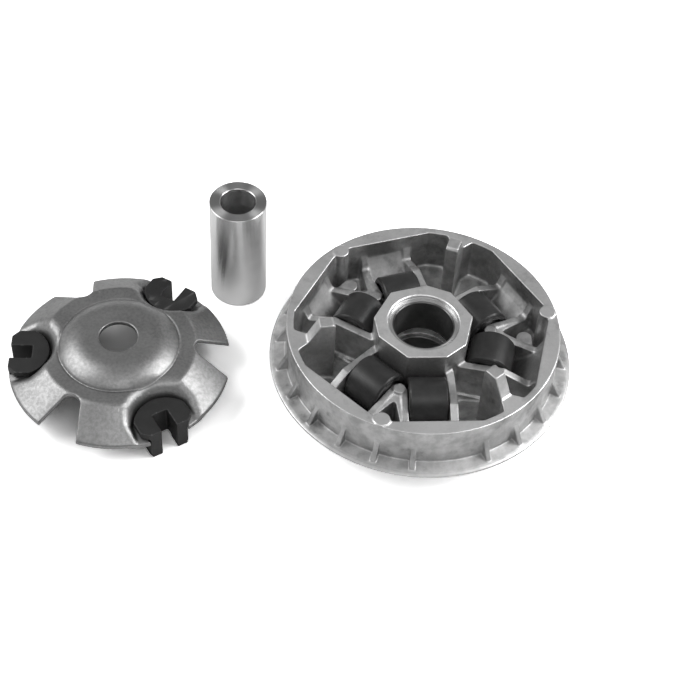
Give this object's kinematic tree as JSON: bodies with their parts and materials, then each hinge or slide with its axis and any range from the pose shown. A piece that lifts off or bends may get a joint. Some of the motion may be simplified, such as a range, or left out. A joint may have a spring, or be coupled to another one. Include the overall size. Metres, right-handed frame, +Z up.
{
  "type": "cvt pulley set",
  "caption": "Belt-drive variator parts laid out upright: cast drive face with rollers in ramped tracks, tubular boss, and domed ramp plate with plastic slider guides.",
  "frame": {"origin": "drive face's hub bore axis at the ground plane that all pieces stand on", "axes": "+Z up along every piece's axis, +X from the ramp plate towards the drive face, +Y towards the back"},
  "size_m": [0.2498, 0.1348, 0.056],
  "materials": {
    "cast_aluminium": "satin casting with machined edges",
    "bush_lining": "dark bonded lining",
    "roller_nylon": "satin black",
    "core_metal": "dull pressed metal",
    "ground_steel": "ground, with turned end faces",
    "sheet_steel": "pressed sheet, tumbled grey",
    "guide_nylon": "matte black"
  },
  "bodies": {
    "drive_face": {"drive_face": "cast_aluminium", "hub_bush_upper": "bush_lining", "hub_bush_lower": "bush_lining"},
    "roller_1": {"roller_sleeve_1": "roller_nylon", "roller_core_1": "core_metal"},
    "roller_2": {"roller_sleeve_2": "roller_nylon", "roller_core_2": "core_metal"},
    "roller_3": {"roller_sleeve_3": "roller_nylon", "roller_core_3": "core_metal"},
    "roller_4": {"roller_sleeve_4": "roller_nylon", "roller_core_4": "core_metal"},
    "roller_5": {"roller_sleeve_5": "roller_nylon", "roller_core_5": "core_metal"},
    "roller_6": {"roller_sleeve_6": "roller_nylon", "roller_core_6": "core_metal"},
    "boss": {"boss": "ground_steel"},
    "ramp_plate": {"ramp_plate": "sheet_steel", "slider_guide_1": "guide_nylon", "slider_guide_2": "guide_nylon", "slider_guide_3": "guide_nylon"}
  },
  "joints": [
    {"name": "roller_1_swing", "type": "hinge", "parent": "drive_face", "child": "roller_1", "pos_m": [0.0227, -0.00372, 0.04373], "axis": [-0.1616, -0.9869, 0], "range_deg": [0, 36]},
    {"name": "roller_2_swing", "type": "hinge", "parent": "drive_face", "child": "roller_2", "pos_m": [0.01854, 0.01362, 0.04373], "axis": [0.592, -0.8059, 0], "range_deg": [0, 36]},
    {"name": "roller_3_swing", "type": "hinge", "parent": "drive_face", "child": "roller_3", "pos_m": [-0.00813, 0.02151, 0.04373], "axis": [0.9354, 0.3535, 0], "range_deg": [0, 36]},
    {"name": "roller_4_swing", "type": "hinge", "parent": "drive_face", "child": "roller_4", "pos_m": [-0.02106, 0.00924, 0.04373], "axis": [0.4019, 0.9157, 0], "range_deg": [0, 36]},
    {"name": "roller_5_swing", "type": "hinge", "parent": "drive_face", "child": "roller_5", "pos_m": [-0.01457, -0.0178, 0.04373], "axis": [-0.7738, 0.6334, 0], "range_deg": [0, 36]},
    {"name": "roller_6_swing", "type": "hinge", "parent": "drive_face", "child": "roller_6", "pos_m": [0.00252, -0.02286, 0.04373], "axis": [-0.994, -0.1097, 0], "range_deg": [0, 36]},
    {"name": "boss_lift", "type": "slide", "parent": "drive_face", "child": "boss", "axis": [0, 0, 1], "range_m": [0, 0.06]},
    {"name": "ramp_plate_lift", "type": "slide", "parent": "drive_face", "child": "ramp_plate", "axis": [0, 0, 1], "range_m": [0, 0.06]}
  ],
  "couplings": [
    {"joint": "roller_2_swing", "follows": "roller_1_swing", "ratio": 1},
    {"joint": "roller_3_swing", "follows": "roller_1_swing", "ratio": 1},
    {"joint": "roller_4_swing", "follows": "roller_1_swing", "ratio": 1},
    {"joint": "roller_5_swing", "follows": "roller_1_swing", "ratio": 1},
    {"joint": "roller_6_swing", "follows": "roller_1_swing", "ratio": 1}
  ]
}
